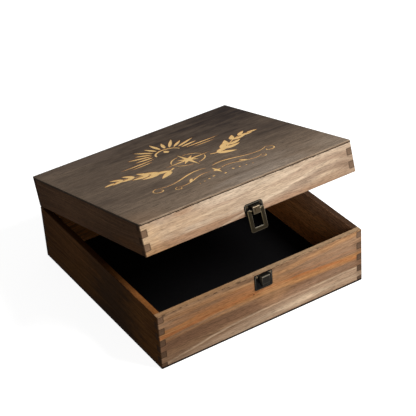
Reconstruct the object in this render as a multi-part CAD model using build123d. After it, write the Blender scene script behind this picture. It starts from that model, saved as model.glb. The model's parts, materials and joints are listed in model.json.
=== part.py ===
from build123d import *
import os
from math import asin, degrees, sqrt

# A keepsake box: a shallow tray and a hinged lid, sawn apart from one finger-jointed pine
# carcass, with a thin panel glued over each face, two small butt hinges on the back and a
# box clasp on the front. Millimetres. +Z is up, the front faces -Y, and the origin is the
# middle of the underside.

# ---- driving dimensions ---------------------------------------------------------------

BOX_WIDTH = 300.0            # outside, along X
BOX_DEPTH = 300.0            # outside, along Y
BOARD = 8.0                  # thickness of the four side boards
PANEL = 3.0                  # thickness of the top and bottom panels
TRAY_WALL = 74.7             # height of the tray's boards
LID_WALL = 38.7              # height of the lid's boards
SAW_KERF = 1.0               # what the saw took out between tray and lid
SEAM = 0.2                   # gap between tray and lid when the lid is shut
CORNER_CHAMFER = 0.8         # sanding of the upright corners
EDGE_CHAMFER = 0.4           # sanding of the rims and the panels' outer edges
METAL_BEVEL = 0.25           # the broken edges of the hinge leaves and clasp plates
HOLE_CLEARANCE = 0.1         # round a shank or screw head where it passes through metal

FIRST_FINGER = 6.5           # the top finger, measured down from the carcass's top
FINGER_PITCH = 8.6           # every other finger

LINING = 1.2                 # felt on the tray's floor
LINING_GAP = 0.3             # between the felt and the boards

LID_OPENING = 15.5           # how far the lid stands open in the stored pose, degrees

HINGE_LENGTH = 30.0
HINGE_CENTRES = (-95.0, 95.0)
HINGE_KNUCKLE_RADIUS = 1.85
HINGE_BORE_RADIUS = 0.85
HINGE_PIN_RADIUS = 0.80
HINGE_PIN_HEAD_RADIUS = 1.45
HINGE_PIN_HEAD = 0.6
HINGE_LEAF = 1.0             # thickness
HINGE_LEAF_REACH = 14.0      # from the pin's axis to the leaf's far edge
HINGE_LEAF_CORNER = 2.0
HINGE_OFFSET = 2.15          # from the back boards to the pin's axis
KNUCKLE_GAP = 0.25           # between neighbouring knuckles
KNUCKLE_SHOULDER = 0.45      # from the pin's axis to where the leaf's strip joins the barrel
LEAF_CLEARANCE = 2.3         # from the pin's axis to a leaf beside the other leaf's knuckle
SCREW_FROM_AXIS = 9.0
SCREW_SPACING = 18.0
SCREW_SHANK_RADIUS = 1.1
SCREW_HEAD_RADIUS = 2.2
SCREW_RECESS = 0.8
SCREW_CROSS = 2.6            # across the driver's recess
SCREW_LENGTH = 6.5           # below the leaf
SHANK_SIDES = 8              # shanks in the wood are plain prisms, in holes of their own shape

CLASP_SHEET = 0.9            # thickness of both clasp plates
CLASP_WIDTH = 26.0
CLASP_PLATE_TOP = 14.4       # above the seam
CLASP_PLATE_FOOT = 0.3
CLASP_PLATE_CORNER = 3.5
CATCH_TOP = -0.5             # below the seam
CATCH_FOOT = -22.8
CATCH_CORNER = 2.0
SEAM_CORNER = 0.6            # of both plates, beside the seam
NAIL_SHANK_RADIUS = 0.7
NAIL_HEAD_RADIUS = 1.6
NAIL_CROWN_RADIUS = 0.8
NAIL_HEAD_HEIGHT = 0.9
NAIL_LENGTH = 6.0
CLASP_NAIL = (9.3, 10.8)     # from the middle, above the seam
CATCH_NAIL = (9.7, -3.4)

PIVOT_PROUD = 3.3            # from the boards' face to the loop's pivot
PIVOT_HEIGHT = 5.0           # above the seam
KNUCKLE_WIDTH = 10.0
KNUCKLE_PROUD = 7.0
KNUCKLE_TOP = 10.6
KNUCKLE_FOOT = 0.5
KNUCKLE_ROUND = 1.6
KNUCKLE_BEVEL = 0.4
KNUCKLE_BOSS_RADIUS = 2.6
KNUCKLE_BOSS_HEIGHT = 0.5

LOOP_WIDTH = 24.0
LOOP_REACH = 26.3            # from the pivot to the loop's foot
LOOP_HEAD = 1.8              # above the pivot
LOOP_THICKNESS = 1.6
LOOP_WINDOW_WIDTH = 12.8
LOOP_FOOT_BAR = 5.0
LOOP_PIN_RADIUS = 1.2
LOOP_BORE_RADIUS = 1.27
LOOP_CORNER = 3.0
LOOP_WINDOW_CORNER = 1.0
LOOP_BEVEL = 0.5

BILL_WIDTH = 12.2
BILL_TOP = -1.2              # below the seam
BILL_PROUD = 7.0
BILL_HEEL = -12.6            # where the hooked underside meets the plate
BILL_TAPER = 0.5             # each side, at the nose
BILL_NOSE = 1.4              # radius of its upper front edge
CATCH_CLEARANCE = 0.2        # between the shut loop and the catch plate

# ---- sizes worked out from them -------------------------------------------------------

CARCASS_HEIGHT = TRAY_WALL + SAW_KERF + LID_WALL
CARCASS_TOP = PANEL + CARCASS_HEIGHT
TRAY_TOP = PANEL + TRAY_WALL
SEAM_HEIGHT = TRAY_TOP + SEAM / 2
LID_DROP = SAW_KERF - SEAM   # how far the sawn lid comes down to meet the tray
LID_PANEL_FOOT = CARCASS_TOP - LID_DROP

FRONT = -BOX_DEPTH / 2
BACK = BOX_DEPTH / 2
HINGE_Y = BACK + HINGE_OFFSET
HINGE_AXIS = Axis((0, HINGE_Y, SEAM_HEIGHT), (-1, 0, 0))

WINDOW_REACH = LOOP_REACH - LOOP_FOOT_BAR

# The shut loop leans in until its foot all but touches the catch plate.
LOOP_LEAN = degrees(
    asin((PIVOT_PROUD - CLASP_SHEET - CATCH_CLEARANCE - LOOP_THICKNESS / 2) / LOOP_REACH)
)

# The bill's lip stays just inside the circle that the window's lower edge swings through.
LIP_SWING = WINDOW_REACH - 0.3
LIP_PROUD = 6.0
BILL_LIP = PIVOT_HEIGHT - sqrt(LIP_SWING**2 - (LIP_PROUD - PIVOT_PROUD) ** 2)


def open_lid(shape):
    """Swing a piece of the shut lid up to where the lid stands open."""
    return shape.rotate(HINGE_AXIS, LID_OPENING)


# ---- woodwork -------------------------------------------------------------------------


def finger_rows():
    """The carcass's finger rows from the top down, as (foot, top, on the front board)."""
    rows = []
    top = CARCASS_TOP
    foot = top - FIRST_FINGER
    on_front = True
    while top > PANEL + 0.01:
        rows.append((foot, top, on_front))
        top = foot
        foot = max(top - FINGER_PITCH, PANEL)
        on_front = not on_front
    return rows


def sanded_slab(foot, top):
    """A layer as wide as the box, with its upright corners sanded."""
    outline = Rectangle(BOX_WIDTH, BOX_DEPTH)
    outline = chamfer(outline.vertices(), CORNER_CHAMFER)
    return extrude(Pos(0, 0, foot) * outline, top - foot)


def wall_ring(foot, top, rim):
    """The four walls as one ring, sanded along the rim, before it is split into boards."""
    hollow = Pos(0, 0, (foot + top) / 2) * Box(
        BOX_WIDTH - 2 * BOARD, BOX_DEPTH - 2 * BOARD, top - foot
    )
    ring = sanded_slab(foot, top) - hollow
    rim_edges = ring.edges().filter_by_position(Axis.Z, rim, rim)
    return chamfer(rim_edges, EDGE_CHAMFER)


def corner_blocks(foot, top):
    """The four corners of the walls in one finger row."""
    corners = GridLocations(BOX_WIDTH - BOARD, BOX_DEPTH - BOARD, 2, 2)
    middle = Pos(0, 0, (foot + top) / 2)
    return [middle * place * Box(BOARD, BOARD, top - foot) for place in corners]


def board_region(side):
    """The space of one board of the carcass with its fingers: front, back, left or right."""
    runs_along_x = side in ("front", "back")
    sign = -1 if side in ("front", "left") else 1
    middle_z = (PANEL + CARCASS_TOP) / 2
    if runs_along_x:
        centre = sign * (BOX_DEPTH - BOARD) / 2
        region = Pos(0, centre, middle_z) * Box(BOX_WIDTH - 2 * BOARD, BOARD, CARCASS_HEIGHT)
    else:
        centre = sign * (BOX_WIDTH - BOARD) / 2
        region = Pos(centre, 0, middle_z) * Box(BOARD, BOX_DEPTH - 2 * BOARD, CARCASS_HEIGHT)
    for foot, top, on_front in finger_rows():
        if on_front != runs_along_x:
            continue
        for block in corner_blocks(foot, top):
            place = block.center()
            across = place.Y if runs_along_x else place.X
            if across * sign > 0:
                region += block
    return region


def tray_boards():
    ring = wall_ring(PANEL, TRAY_TOP, TRAY_TOP)
    return {side: ring & board_region(side) for side in ("front", "back", "left", "right")}


def lid_boards():
    """The lid's boards with the lid shut: sawn off the carcass and let down on the tray."""
    foot = CARCASS_TOP - LID_WALL
    ring = wall_ring(foot, CARCASS_TOP, foot)
    drop = Pos(0, 0, -LID_DROP)
    return {
        side: drop * (ring & board_region(side)) for side in ("front", "back", "left", "right")
    }


def bottom_panel():
    panel = sanded_slab(0, PANEL)
    return chamfer(panel.edges().filter_by_position(Axis.Z, 0, 0), EDGE_CHAMFER)


def top_panel():
    top = LID_PANEL_FOOT + PANEL
    panel = sanded_slab(LID_PANEL_FOOT, top)
    return chamfer(panel.edges().filter_by_position(Axis.Z, top, top), EDGE_CHAMFER)


def floor_lining():
    width = BOX_WIDTH - 2 * BOARD - 2 * LINING_GAP
    depth = BOX_DEPTH - 2 * BOARD - 2 * LINING_GAP
    return Pos(0, 0, PANEL + LINING / 2) * Box(width, depth, LINING)


# ---- hinges ---------------------------------------------------------------------------


def knuckle_spans():
    """Three knuckles from left to right: two of the tray's leaf outside, the lid's between."""
    third = HINGE_LENGTH / 3
    edges = [-HINGE_LENGTH / 2 + third * i for i in range(4)]
    gap = KNUCKLE_GAP / 2
    return [
        (edges[0], edges[1] - gap, "tray"),
        (edges[1] + gap, edges[2] - gap, "lid"),
        (edges[2] + gap, edges[3], "tray"),
    ]


def leaf_plate(up):
    """The flat of a leaf, screwed to the back boards, above or below the pin's axis."""
    near = LEAF_CLEARANCE
    height = HINGE_LEAF_REACH - near
    plate = RectangleRounded(HINGE_LENGTH, height, HINGE_LEAF_CORNER)
    # the corners beside the knuckles stay square
    plate += Pos(0, -height / 4) * Rectangle(HINGE_LENGTH, height / 2)
    plate = extrude(Plane.XZ * plate, -HINGE_LEAF)
    plate = chamfer(plate.faces().sort_by(Axis.Y)[-1].outer_wire().edges(), METAL_BEVEL)
    plate = Pos(0, 0, near + height / 2) * plate
    if not up:
        plate = plate.mirror(Plane.XY)
    return plate


def knuckle(low, high, up):
    """One knuckle and the strip that carries it, about the origin as the pin's axis."""
    length = high - low
    across = Pos((low + high) / 2, 0, 0) * Rot(0, 90, 0)
    barrel = across * Cylinder(HINGE_KNUCKLE_RADIUS, length)
    # the other half's back edge swings close by, so the strip starts at the barrel's shoulder
    strip_end = LEAF_CLEARANCE + 0.5
    strip_z = (KNUCKLE_SHOULDER + strip_end) / 2
    strip_y = -HINGE_OFFSET + HINGE_LEAF / 2
    strip = Box(length, HINGE_LEAF, strip_end - KNUCKLE_SHOULDER)
    strip = Pos((low + high) / 2, strip_y, strip_z if up else -strip_z) * strip
    return barrel + strip - across * Cylinder(HINGE_BORE_RADIUS, 2 * length)


def hinge_leaf(centre, body):
    """A leaf with its knuckles and two countersunk holes."""
    up = body == "lid"
    leaf = Pos(0, -HINGE_OFFSET, 0) * leaf_plate(up)
    for low, high, owner in knuckle_spans():
        if owner == body:
            leaf += knuckle(low, high, up)
    for screw_x in (-SCREW_SPACING / 2, SCREW_SPACING / 2):
        z = SCREW_FROM_AXIS if up else -SCREW_FROM_AXIS
        face = Pos(screw_x, HINGE_LEAF - HINGE_OFFSET, z) * Rot(-90, 0, 0)
        leaf -= face * screw_head(HOLE_CLEARANCE)
    return Pos(centre, HINGE_Y, SEAM_HEIGHT) * leaf


def screw_head(clearance=0.0):
    """A countersunk head as deep as the leaf, with its rim at the origin, pointing down -Z."""
    cone = Cone(SCREW_SHANK_RADIUS + clearance, SCREW_HEAD_RADIUS + clearance, HINGE_LEAF)
    return Pos(0, 0, -HINGE_LEAF / 2) * cone


def shank(radius, length):
    """The plain prism of a nail or screw in the wood, from the origin down -Z."""
    return extrude(RegularPolygon(radius, SHANK_SIDES), -length)


def hinge_screw():
    screw = screw_head()
    for turn in (0, 90):
        screw -= Rot(0, 0, turn) * Box(SCREW_CROSS, SCREW_CROSS / 5, SCREW_RECESS)
    return screw + Pos(0, 0, -HINGE_LEAF) * shank(SCREW_SHANK_RADIUS, SCREW_LENGTH)


def screw_places(body):
    """Where the screws of both hinges enter the back boards on one side of the seam."""
    z = SEAM_HEIGHT + (SCREW_FROM_AXIS if body == "lid" else -SCREW_FROM_AXIS)
    for centre in HINGE_CENTRES:
        for screw_x in (-SCREW_SPACING / 2, SCREW_SPACING / 2):
            yield Pos(centre + screw_x, BACK + HINGE_LEAF, z) * Rot(-90, 0, 0)


def hinge_screws(body):
    return Compound([place * hinge_screw() for place in screw_places(body)])


def hinge_pin(centre):
    """A plain pin with a flat head at each end, just outside the knuckles."""
    along_x = Rot(0, 90, 0)
    pin = along_x * Cylinder(HINGE_PIN_RADIUS, HINGE_LENGTH + 2 * HINGE_PIN_HEAD)
    for side in (-1, 1):
        head = along_x * Cylinder(HINGE_PIN_HEAD_RADIUS, HINGE_PIN_HEAD)
        pin += Pos(side * (HINGE_LENGTH / 2 + HINGE_PIN_HEAD), 0, 0) * head
    return Pos(centre, HINGE_Y, SEAM_HEIGHT) * pin


# ---- clasp ----------------------------------------------------------------------------


def on_front(x, proud, height):
    """A place on the front: along X, out from the boards, and up from the seam."""
    return Pos(x, FRONT - proud, SEAM_HEIGHT + height)


def clasp_sheet(foot, top, top_round, foot_round):
    """A plate of the clasp, cut from sheet, with its back on the boards."""
    middle = (foot + top) / 2
    outline = Rectangle(CLASP_WIDTH, top - foot)
    corners = outline.vertices().group_by(Axis.Y)
    outline = fillet(corners[-1], top_round)
    outline = fillet(outline.vertices().group_by(Axis.Y)[0], foot_round)
    sheet = extrude(Plane.XZ * outline, CLASP_SHEET)
    front_edges = sheet.faces().sort_by(Axis.Y)[0].outer_wire().edges()
    return on_front(0, 0, middle) * chamfer(front_edges, METAL_BEVEL)


def nail_holes(nail):
    across, height = nail
    drill = Rot(90, 0, 0) * Cylinder(NAIL_SHANK_RADIUS + HOLE_CLEARANCE, 4 * CLASP_SHEET)
    holes = [on_front(side * across, 0, height) * drill for side in (-1, 1)]
    return holes[0] + holes[1]


def nails(nail):
    """Two nails with low cone heads, driven through a clasp plate."""
    across, height = nail
    head = Cone(NAIL_HEAD_RADIUS, NAIL_CROWN_RADIUS, NAIL_HEAD_HEIGHT)
    shape = Pos(0, 0, NAIL_HEAD_HEIGHT / 2) * head + shank(NAIL_SHANK_RADIUS, NAIL_LENGTH)
    places = [on_front(side * across, CLASP_SHEET, height) for side in (-1, 1)]
    return Compound([place * Rot(90, 0, 0) * shape for place in places])


def clasp_knuckle():
    """The tongue folded round the loop's head bar, pressed tight, with a small round boss."""
    height = KNUCKLE_TOP - KNUCKLE_FOOT
    depth = KNUCKLE_PROUD
    block = Pos(0, -depth / 2, 0) * Box(KNUCKLE_WIDTH, depth, height)
    nose_edges = block.faces().sort_by(Axis.Y)[0].edges().filter_by(Axis.X)
    block = fillet(nose_edges, KNUCKLE_ROUND)
    side_edges = block.faces().sort_by(Axis.Y)[0].edges().filter_by(Axis.Z)
    block = chamfer(side_edges, KNUCKLE_BEVEL)
    boss = Pos(0, -depth, 0) * Rot(90, 0, 0) * Cylinder(KNUCKLE_BOSS_RADIUS, 2 * KNUCKLE_BOSS_HEIGHT)
    return on_front(0, 0, (KNUCKLE_TOP + KNUCKLE_FOOT) / 2) * (block + boss)


def clasp_plate():
    plate = clasp_sheet(CLASP_PLATE_FOOT, CLASP_PLATE_TOP, CLASP_PLATE_CORNER, SEAM_CORNER)
    plate += clasp_knuckle()
    plate -= nail_holes(CLASP_NAIL)
    bore = on_front(0, PIVOT_PROUD, PIVOT_HEIGHT) * Rot(0, 90, 0)
    return plate - bore * Cylinder(LOOP_BORE_RADIUS, 2 * KNUCKLE_WIDTH)


def loop_ring():
    """The flat frame of the loop, hanging from a pivot at the origin, open at its head."""
    height = LOOP_HEAD + LOOP_REACH
    outline = Pos(0, LOOP_HEAD - height / 2) * RectangleRounded(LOOP_WIDTH, height, LOOP_CORNER)
    window_height = WINDOW_REACH + 2 * LOOP_HEAD
    window = Rectangle(LOOP_WINDOW_WIDTH, window_height)
    window = fillet(window.vertices().group_by(Axis.Y)[0], LOOP_WINDOW_CORNER)
    window = Pos(0, window_height / 2 - WINDOW_REACH) * window
    frame = extrude(Plane.XZ * (outline - window), LOOP_THICKNESS / 2, both=True)
    return chamfer(frame.faces().sort_by(Axis.Y)[0].outer_wire().edges(), LOOP_BEVEL)


def clasp_loop():
    """The loop in its shut place: leaning in on the catch, with its window round the bill."""
    head_bar = Rot(0, 90, 0) * Cylinder(LOOP_PIN_RADIUS, LOOP_WINDOW_WIDTH + 4.0)
    loop = loop_ring() + head_bar
    return on_front(0, PIVOT_PROUD, PIVOT_HEIGHT) * Rot(-LOOP_LEAN, 0, 0) * loop


def bill_section():
    """The bill from the side: a flat top, a rounded nose and a hooked lip beneath."""
    nose_foot = BILL_LIP + 1.6
    lip = (LIP_PROUD - 0.3, BILL_LIP)
    brow = (BILL_PROUD - BILL_NOSE, BILL_TOP)
    nose = (BILL_PROUD, BILL_TOP - BILL_NOSE)
    path = (
        Line((0, BILL_TOP), brow)
        + RadiusArc(brow, nose, BILL_NOSE)
        + Line(nose, (BILL_PROUD - 0.2, nose_foot))
        + ThreePointArc((BILL_PROUD - 0.2, nose_foot), (LIP_PROUD + 0.45, BILL_LIP + 0.4), lip)
        + ThreePointArc(lip, (3.6, BILL_LIP + 0.75), (0, BILL_HEEL))
        + Line((0, BILL_HEEL), (0, BILL_TOP))
    )
    return make_face(path)


def catch_bill():
    """The bill that the loop's window closes round, a little narrower at its nose."""
    # the section is drawn with X outward from the boards and Y upward
    lengthwise = Plane(origin=(0, 0, 0), x_dir=(0, -1, 0), z_dir=(-1, 0, 0))
    bill = extrude(lengthwise * bill_section(), BILL_WIDTH / 2, both=True)
    half = BILL_WIDTH / 2
    outline = Polyline(
        (-half, 0), (-half + BILL_TAPER, -BILL_PROUD - 1), (half - BILL_TAPER, -BILL_PROUD - 1),
        (half, 0), close=True,
    )
    envelope = extrude(make_face(outline), 40, both=True)
    return on_front(0, 0, 0) * (bill & envelope)


def catch_plate():
    plate = clasp_sheet(CATCH_FOOT, CATCH_TOP, SEAM_CORNER, CATCH_CORNER) + catch_bill()
    return plate - nail_holes(CATCH_NAIL)


def nail_pilots(nail):
    """The holes that two clasp nails fill in a front board."""
    across, height = nail
    drill = Pos(0, 0, 1) * shank(NAIL_SHANK_RADIUS, 1 + NAIL_LENGTH - CLASP_SHEET)
    holes = [on_front(side * across, 0, height) * Rot(90, 0, 0) * drill for side in (-1, 1)]
    return holes[0] + holes[1]


def screw_pilots(body):
    """The holes that the hinge screws fill in a back board."""
    drill = shank(SCREW_SHANK_RADIUS, HINGE_LEAF + SCREW_LENGTH)
    return Compound([place * drill for place in screw_places(body)])


# ---- assembly -------------------------------------------------------------------------


def tray_nodes():
    boards = tray_boards()
    boards["front"] -= nail_pilots(CATCH_NAIL)
    boards["back"] -= screw_pilots("tray")
    nodes = {f"tray_{side}_board": board for side, board in boards.items()}
    nodes["tray_bottom_panel"] = bottom_panel()
    nodes["floor_lining"] = floor_lining()
    nodes["catch_plate"] = catch_plate()
    nodes["catch_nails"] = nails(CATCH_NAIL)
    nodes["tray_hinge_screws"] = hinge_screws("tray")
    for side, centre in zip(("left", "right"), HINGE_CENTRES):
        nodes[f"{side}_hinge_tray_leaf"] = hinge_leaf(centre, "tray")
        nodes[f"{side}_hinge_pin"] = hinge_pin(centre)
    return nodes


def lid_nodes():
    boards = lid_boards()
    boards["front"] -= nail_pilots(CLASP_NAIL)
    boards["back"] -= screw_pilots("lid")
    nodes = {f"lid_{side}_board": board for side, board in boards.items()}
    nodes["lid_top_panel"] = top_panel()
    nodes["clasp_plate"] = clasp_plate()
    nodes["clasp_nails"] = nails(CLASP_NAIL)
    nodes["clasp_loop"] = clasp_loop()
    nodes["lid_hinge_screws"] = hinge_screws("lid")
    for side, centre in zip(("left", "right"), HINGE_CENTRES):
        nodes[f"{side}_hinge_lid_leaf"] = hinge_leaf(centre, "lid")
    return {name: open_lid(shape) for name, shape in nodes.items()}


def main():
    os.makedirs("parts", exist_ok=True)
    nodes = {**tray_nodes(), **lid_nodes()}
    for name, shape in nodes.items():
        export_step(shape, f"parts/{name}.step")


main()
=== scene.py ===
import json
from math import atan2, cos, pi, radians, sin, tau

import bmesh
import bpy
from mathutils import Matrix, Vector, noise
from mathutils.geometry import delaunay_2d_cdt


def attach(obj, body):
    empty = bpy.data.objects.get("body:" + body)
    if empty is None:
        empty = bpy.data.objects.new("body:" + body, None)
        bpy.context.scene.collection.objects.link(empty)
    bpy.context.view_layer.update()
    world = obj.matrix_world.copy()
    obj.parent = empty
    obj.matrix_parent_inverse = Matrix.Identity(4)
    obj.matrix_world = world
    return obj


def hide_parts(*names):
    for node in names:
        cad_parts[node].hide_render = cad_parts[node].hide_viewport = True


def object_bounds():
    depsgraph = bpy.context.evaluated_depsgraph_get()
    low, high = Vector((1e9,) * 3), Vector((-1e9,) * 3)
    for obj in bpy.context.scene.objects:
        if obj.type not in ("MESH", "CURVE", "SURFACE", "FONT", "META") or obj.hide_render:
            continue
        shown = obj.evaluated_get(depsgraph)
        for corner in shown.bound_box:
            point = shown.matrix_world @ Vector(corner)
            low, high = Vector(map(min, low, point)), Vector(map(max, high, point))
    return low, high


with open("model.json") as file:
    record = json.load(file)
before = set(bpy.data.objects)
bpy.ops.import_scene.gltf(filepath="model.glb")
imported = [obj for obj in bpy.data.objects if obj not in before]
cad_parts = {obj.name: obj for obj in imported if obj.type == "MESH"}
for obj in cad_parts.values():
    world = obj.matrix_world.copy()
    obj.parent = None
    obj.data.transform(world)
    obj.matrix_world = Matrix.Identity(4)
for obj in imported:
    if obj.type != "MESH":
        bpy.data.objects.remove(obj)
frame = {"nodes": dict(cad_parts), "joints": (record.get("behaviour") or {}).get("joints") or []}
cad_low, cad_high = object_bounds()

# Lengths are millimetres until they are handed to Blender, which works in metres.
MM = 0.001

# ---- the lid's own axes ----

HINGE = next(joint for joint in frame["joints"] if joint["name"] == "lid_hinge")
HINGE_POINT = Vector(HINGE["pos_m"])
HINGE_AXIS = Vector(HINGE["axis"])
LID_OPENING = radians(-HINGE["range_deg"][0])
OPEN_LID = (
    Matrix.Translation(HINGE_POINT)
    @ Matrix.Rotation(LID_OPENING, 4, HINGE_AXIS)
    @ Matrix.Translation(-HINGE_POINT)
)


def node_box(node, shut=False):
    """A CAD node's lowest and highest corners in millimetres; shut is for the lid's nodes."""
    back = OPEN_LID.inverted() if shut else Matrix.Identity(4)
    corners = [back @ vertex.co / MM for vertex in frame["nodes"][node].data.vertices]
    low = Vector(min(c[i] for c in corners) for i in range(3))
    high = Vector(max(c[i] for c in corners) for i in range(3))
    return low, high


BASE_HIGH = node_box("tray_bottom_panel")[1]
HALF = BASE_HIGH.x  # half the box's width and depth
TRAY_TOP = node_box("tray_front_board")[1].z
SEAM_HEIGHT = HINGE_POINT.z / MM
LID_LOW, LID_HIGH = node_box("lid_front_board", shut=True)
PLATE_LOW, PLATE_HIGH = node_box("lid_top_panel", shut=True)
BOARD = LID_HIGH.y - LID_LOW.y  # thickness of the boards
INSIDE = HALF - BOARD  # from the middle to their inner faces
FIRST_FINGER = 6.5  # the lid's top finger
FINGER_PITCH = 8.6  # the others
HALF_ROW = (FINGER_PITCH / 2 - 0.2, FINGER_PITCH / 2 + 0.2)
SAWN_SLICE = 1.2  # what the saw left of the row above the tray's first

# ---- camera ----

IMAGE_SIZE = 416
CAMERA_AZIMUTH = radians(-30.142)
CAMERA_ELEVATION = radians(33.431)
CAMERA_ROLL = radians(-4.301)
CAMERA_DISTANCE = 1929.0
CAMERA_TARGET = Vector((17.08, 0.0, 85.58))
CAMERA_FOCAL_PIXELS = 1499.3
SENSOR = 36.0
FARTHEST = 100  # metres that the camera sees


def add_camera():
    back = Vector((
        sin(CAMERA_AZIMUTH) * cos(CAMERA_ELEVATION),
        -cos(CAMERA_AZIMUTH) * cos(CAMERA_ELEVATION),
        sin(CAMERA_ELEVATION),
    ))
    right = (-back).cross(Vector((0, 0, 1))).normalized()
    up = back.cross(right)
    turned_right = cos(CAMERA_ROLL) * right + sin(CAMERA_ROLL) * up
    turned_up = cos(CAMERA_ROLL) * up - sin(CAMERA_ROLL) * right
    data = bpy.data.cameras.new("camera")
    data.sensor_width = SENSOR
    data.lens = CAMERA_FOCAL_PIXELS * SENSOR / IMAGE_SIZE
    data.clip_end = FARTHEST
    camera = bpy.data.objects.new("camera", data)
    camera.matrix_world = Matrix.Translation((CAMERA_TARGET + CAMERA_DISTANCE * back) * MM) @ (
        Matrix((turned_right, turned_up, back)).transposed().to_4x4()
    )
    bpy.context.scene.collection.objects.link(camera)
    bpy.context.scene.camera = camera


# ---- material graphs ----

NOISE_RUN = (0.3, 0.7)  # between which most of a noise lies


def tone(red, green, blue):
    """A colour as it is seen, 0 to 255, as the linear colour that Blender takes."""
    def linear(value):
        value /= 255
        return value / 12.92 if value <= 0.04045 else ((value + 0.055) / 1.055) ** 2.4
    return linear(red), linear(green), linear(blue), 1.0


class Graph:
    """One material's nodes. Values passed in are sockets, numbers or colours."""

    def __init__(self, name):
        self.material = bpy.data.materials.new(name)
        self.material.use_nodes = True
        self.tree = self.material.node_tree
        self.shader = self.tree.nodes["Principled BSDF"]

    def node(self, kind, *values, **settings):
        """A new node whose first inputs take the values."""
        made = self.tree.nodes.new(kind)
        for key, value in settings.items():
            setattr(made, key, value)
        for socket, value in zip(made.inputs, values):
            self.feed(socket, value)
        return made

    def feed(self, socket, value):
        if isinstance(value, bpy.types.NodeSocket):
            self.tree.links.new(value, socket)
        else:
            socket.default_value = value

    def set(self, **sockets):
        """Sets the shader's inputs by name, with _ for a space."""
        for name, value in sockets.items():
            self.feed(self.shader.inputs[name.replace("_", " ")], value)

    # numbers

    def math(self, operation, first, second=0.0):
        return self.node("ShaderNodeMath", first, second, operation=operation).outputs[0]

    def add(self, first, second):
        return self.math("ADD", first, second)

    def times(self, first, second):
        return self.math("MULTIPLY", first, second)

    def most(self, first, second):
        return self.math("MAXIMUM", first, second)

    def size(self, value):
        return self.math("ABSOLUTE", value)

    def away(self, value, spot):
        """How far a value is from a spot."""
        return self.size(self.math("SUBTRACT", value, spot))

    def ramp(self, value, low, high, start=0.0, end=1.0, kind="LINEAR"):
        """Goes from start to end as value goes from low to high."""
        values = value, low, high, start, end
        return self.node("ShaderNodeMapRange", *values, interpolation_type=kind).outputs[0]

    def step(self, value, low, high, start=0.0, end=1.0):
        """A ramp with soft ends."""
        return self.ramp(value, low, high, start, end, "SMOOTHSTEP")

    def curve(self, value, points, span, reach):
        """A smooth curve through a few (value, result) points."""
        made = self.node("ShaderNodeFloatCurve")
        line = made.mapping.curves[0]
        placed = [((x - span[0]) / (span[1] - span[0]), y / reach) for x, y in points]
        for point, place in zip(line.points, (placed[0], placed[-1])):
            point.location = place
        for place in placed[1:-1]:
            line.points.new(*place)
        made.mapping.update()
        self.feed(made.inputs["Value"], self.ramp(value, *span))
        return self.times(made.outputs[0], reach)

    # places and noises

    def vector(self, x, y, z):
        return self.node("ShaderNodeCombineXYZ", x, y, z).outputs[0]

    def split(self, vector):
        return tuple(self.node("ShaderNodeSeparateXYZ", vector).outputs)

    def stretched(self, place, lengths):
        """A place whose first coordinates are counted in the lengths given for them."""
        counted = [self.times(part, 1 / length) for part, length in zip(place, lengths)]
        return self.vector(*counted, *place[len(lengths):])

    def shifted(self, vector, seed):
        shift = (seed * 3.7, seed * 5.3, seed * 1.9)
        return self.node("ShaderNodeVectorMath", vector, shift, operation="ADD").outputs[0]

    def noise(self, vector, scale=1.0, detail=3.0, roughness=0.5, distortion=0.0):
        made = self.node("ShaderNodeTexNoise", vector)
        made.inputs["Scale"].default_value = scale
        made.inputs["Detail"].default_value = detail
        made.inputs["Roughness"].default_value = roughness
        made.inputs["Distortion"].default_value = distortion
        return made.outputs[0]

    def over(self, noise, start, end):
        """Goes softly from start to end over a noise's usual run."""
        return self.step(noise, *NOISE_RUN, start, end)

    def swing(self, noise, amount):
        """A noise moved to swing about nothing, by amount in all."""
        return self.times(self.add(noise, -0.5), amount)

    def bump(self, height, distance, strength):
        made = self.node("ShaderNodeBump")
        made.inputs["Strength"].default_value = strength
        made.inputs["Distance"].default_value = distance * MM
        self.feed(made.inputs["Height"], height)
        return made.outputs[0]

    # colours

    def mix(self, factor, first, second, blend="MIX"):
        made = self.node("ShaderNodeMix", factor, data_type="RGBA", blend_type=blend,
                         clamp_factor=True)
        self.feed(made.inputs[6], first)
        self.feed(made.inputs[7], second)
        return made.outputs[2]

    def between(self, factor, first, second):
        """From one tone to another."""
        return self.mix(factor, tone(*first), tone(*second))

    def paint(self, colour, mask, shade, strength=1.0):
        """Lays a tone over a colour where mask is 1, as thickly as strength says."""
        return self.mix(self.times(mask, strength), colour, tone(*shade))

    def shade(self, colour, factor):
        return self.mix(1.0, colour, self.vector(factor, factor, factor), "MULTIPLY")

    def tint(self, colour, mask, factors):
        """Multiplies a colour by one factor for each channel where mask is 1."""
        tinted = self.vector(*[self.ramp(mask, 0, 1, 1, factor) for factor in factors])
        return self.mix(1.0, colour, tinted, "MULTIPLY")


def object_axes(g, shut):
    """Place in millimetres and normal, in the box's axes, or in the shut lid's for a lid part."""
    coordinates = g.node("ShaderNodeTexCoord")
    place, normal = coordinates.outputs["Object"], coordinates.outputs["Normal"]
    if shut:
        turned = []
        for socket, centre in ((place, HINGE_POINT), (normal, Vector())):
            turn = g.node("ShaderNodeVectorRotate", socket, centre, HINGE_AXIS, -LID_OPENING,
                          rotation_type="AXIS_ANGLE")
            turned.append(turn.outputs[0])
        place, normal = turned
    scaled = g.node("ShaderNodeVectorMath", place, operation="SCALE")
    scaled.inputs["Scale"].default_value = 1 / MM
    return g.split(scaled.outputs[0]), g.split(normal)


# ---- wood ----

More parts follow.
